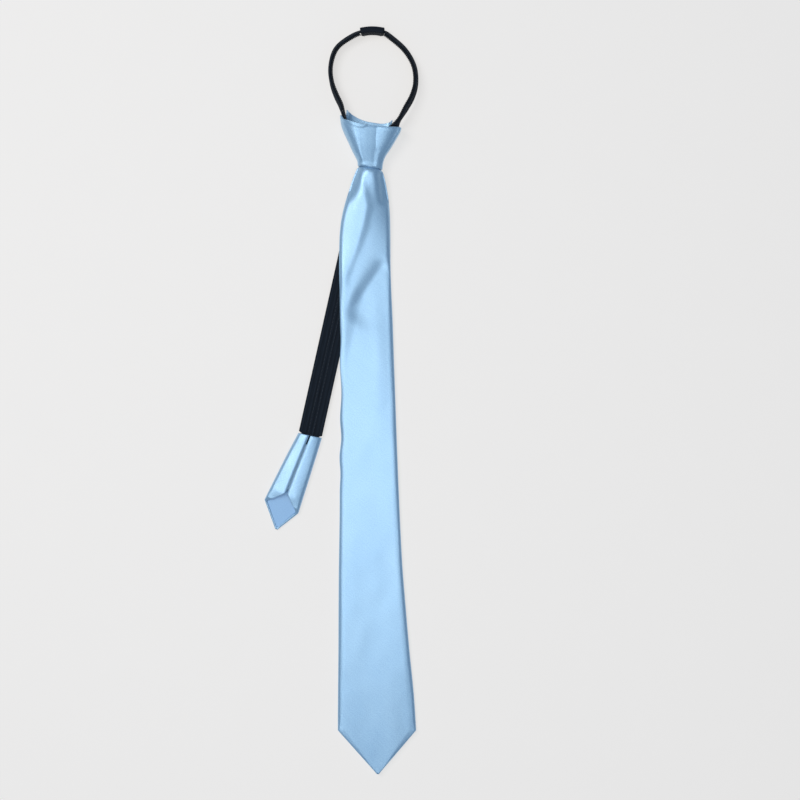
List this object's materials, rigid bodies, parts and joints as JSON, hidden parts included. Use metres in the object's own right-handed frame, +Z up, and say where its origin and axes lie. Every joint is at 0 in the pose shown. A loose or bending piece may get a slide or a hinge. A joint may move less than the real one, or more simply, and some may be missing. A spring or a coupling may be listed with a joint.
{
  "type": "zipper tie",
  "caption": "Slim ready-tied satin neck tie with a zip neck loop, laid flat and face up: wrapped knot, long pointed blade and a short tail of zip tape ending in satin.",
  "frame": {"origin": "middle of the tie's box, on the surface that it lies on", "axes": "+Y towards the neck loop, +X to the right seen from above, +Z up from the surface, out of the tie's front"},
  "size_m": [0.0978, 0.4758, 0.0165],
  "materials": {
    "satin": "light blue glossy satin, fine diagonal weave",
    "lining": "the same blue satin, seen in shade behind the points",
    "zip_tape": "near black woven zip tape with lengthwise ribs",
    "zip_teeth": "near black coil teeth, slightly shiny",
    "tab_cloth": "dark slate ribbon",
    "slider": "plain dark slider, hidden in the knot"
  },
  "bodies": {
    "root": {"knot_wrap": "satin", "knot_back": "satin", "front_blade": "satin", "front_tipping": "lining", "neck_tape_left": "zip_tape", "neck_tape_right": "zip_tape", "neck_coil_left": "zip_teeth", "neck_coil_right": "zip_teeth", "neck_tab": "tab_cloth", "zip_slider": "slider", "tail_tape_left": "zip_tape", "tail_tape_right": "zip_tape", "tail_coil": "zip_teeth", "tail_blade": "satin", "tail_tipping": "lining"}
  },
  "joints": []
}
